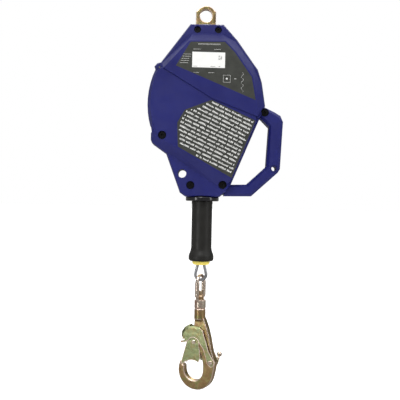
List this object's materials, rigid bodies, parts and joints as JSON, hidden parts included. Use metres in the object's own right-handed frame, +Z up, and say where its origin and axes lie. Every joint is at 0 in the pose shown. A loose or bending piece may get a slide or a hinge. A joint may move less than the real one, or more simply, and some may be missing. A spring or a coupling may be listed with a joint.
{
  "type": "self retracting lifeline",
  "caption": "Overhead fall arrest reel: spring wound steel cable on a drum in a two shell housing with carry handle, grip sleeve, swivel and double locking snap hook.",
  "frame": {"origin": "centre of the anchor eye's bore, in the middle of the plate's thickness", "axes": "+Z up from the hook to the anchor eye, +X towards the carry handle, +Y to the back, along the anchor eye's bore"},
  "size_m": [0.256, 0.0921, 0.7319],
  "materials": {
    "blue_plastic": "deep blue moulded nylon with a fine grain",
    "label_dark": "dark olive grey printed film",
    "label_white": "white sticker",
    "black_steel": "black oxide screws",
    "black_rubber": "soft black moulded rubber",
    "black_plastic": "glossy black nylon",
    "yellow_plastic": "bright yellow plastic",
    "yellow_zinc": "yellow passivated zinc with iridescence",
    "olive_zinc": "olive green passivated zinc",
    "copper_zinc": "copper toned passivated zinc",
    "galvanised": "galvanised steel wire",
    "steel": "bright zinc plated steel",
    "dark_steel": "hardened tool steel",
    "cast_aluminium": "die cast aluminium",
    "bronze": "sintered bronze",
    "friction_lining": "woven friction lining",
    "spring_steel": "blued spring steel",
    "white_nylon": "natural nylon"
  },
  "bodies": {
    "housing": {"front_cover": "blue_plastic", "rear_cover": "blue_plastic", "upper_label": "label_dark", "id_sticker": "label_white", "lower_label": "label_dark", "cover_screws": "black_steel", "cover_nuts": "black_steel", "edge_rivet": "steel", "anchor_plate": "yellow_zinc", "anchor_seal": "black_rubber", "front_frame": "steel", "rear_frame": "steel", "frame_bolts": "steel", "frame_nuts": "steel", "frame_spacers": "steel", "drum_shaft": "steel", "shaft_nuts": "steel", "thrust_spacers": "bronze", "brake_base": "steel", "front_lining": "friction_lining", "rear_lining": "friction_lining", "pressure_ring": "steel", "brake_screws": "black_steel", "disc_springs": "spring_steel", "spring_case": "black_plastic", "spring_lid": "black_plastic", "power_spring": "spring_steel", "nozzle": "black_plastic", "cable_guide": "white_nylon", "cable_lead": "galvanised"},
    "drum": {"cable_drum": "cast_aluminium", "drum_bushes": "bronze", "wound_cable": "galvanised", "spring_arbor": "cast_aluminium", "pawl_pins": "steel", "pawl_springs": "spring_steel", "cable_stop": "copper_zinc"},
    "pawl_a": {"pawl_1": "dark_steel"},
    "pawl_b": {"pawl_2": "dark_steel"},
    "pawl_c": {"pawl_3": "dark_steel"},
    "brake_ring": {"ratchet_ring": "dark_steel"},
    "lifeline": {"grip_sleeve": "black_rubber", "end_ring": "yellow_plastic", "cable_tail": "galvanised", "cable_ferrule": "copper_zinc", "cable_loop": "galvanised", "thimble": "galvanised"},
    "swivel": {"swivel_eye": "copper_zinc"},
    "hook": {"hook_body": "yellow_zinc", "swivel_stud": "yellow_zinc", "gate_rivet": "copper_zinc", "lever_pin": "copper_zinc", "gate_spring": "spring_steel", "lever_spring": "spring_steel"},
    "gate": {"gate": "olive_zinc"},
    "lever": {"lock_lever": "olive_zinc"}
  },
  "joints": [
    {"name": "payout", "type": "slide", "parent": "housing", "child": "lifeline", "axis": [0, 0, -1], "range_m": [0, 10], "stiffness_N_per_m": 2, "springref_m": -12.5, "deforming": ["cable_tail"]},
    {"name": "drum_spin", "type": "hinge", "parent": "housing", "child": "drum", "pos_m": [0.003, 0, -0.17], "axis": [0, -1, 0], "range_deg": [0, 8640.1]},
    {"name": "brake_slip", "type": "hinge", "parent": "housing", "child": "brake_ring", "pos_m": [0.003, 0, -0.17], "axis": [0, -1, 0], "continuous": true},
    {"name": "pawl_a_swing", "type": "hinge", "parent": "drum", "child": "pawl_a", "pos_m": [0.037, 0, -0.17], "axis": [0, 1, 0], "range_deg": [0, 18.8], "stiffness_Nm_per_rad": 0.02, "springref_deg": -34.38},
    {"name": "pawl_b_swing", "type": "hinge", "parent": "drum", "child": "pawl_b", "pos_m": [-0.014, 0, -0.14056], "axis": [0, 1, 0], "range_deg": [0, 18.8], "stiffness_Nm_per_rad": 0.02, "springref_deg": -34.38},
    {"name": "pawl_c_swing", "type": "hinge", "parent": "drum", "child": "pawl_c", "pos_m": [-0.014, 0, -0.19945], "axis": [0, 1, 0], "range_deg": [0, 18.8], "stiffness_Nm_per_rad": 0.02, "springref_deg": -34.38},
    {"name": "eye_swing", "type": "hinge", "parent": "lifeline", "child": "swivel", "pos_m": [0, 0, -0.4943], "axis": [0, 1, 0], "range_deg": [-30, 30]},
    {"name": "hook_swivel", "type": "hinge", "parent": "swivel", "child": "hook", "pos_m": [0, 0, -0.55], "axis": [0, 0, 1], "continuous": true},
    {"name": "gate_open", "type": "hinge", "parent": "hook", "child": "gate", "pos_m": [-0.00671, 0.00313, -0.621], "axis": [-0.4226, -0.9063, 0], "range_deg": [0, 32], "stiffness_Nm_per_rad": 0.15, "springref_deg": -45.84},
    {"name": "lever_press", "type": "hinge", "parent": "hook", "child": "lever", "pos_m": [0.02628, -0.01226, -0.6565], "axis": [0.4226, 0.9063, 0], "range_deg": [0, 5], "stiffness_Nm_per_rad": 0.6, "springref_deg": -34.38}
  ],
  "couplings": [
    {"joint": "drum_spin", "follows": "payout", "rad_per_m": 15.08}
  ]
}
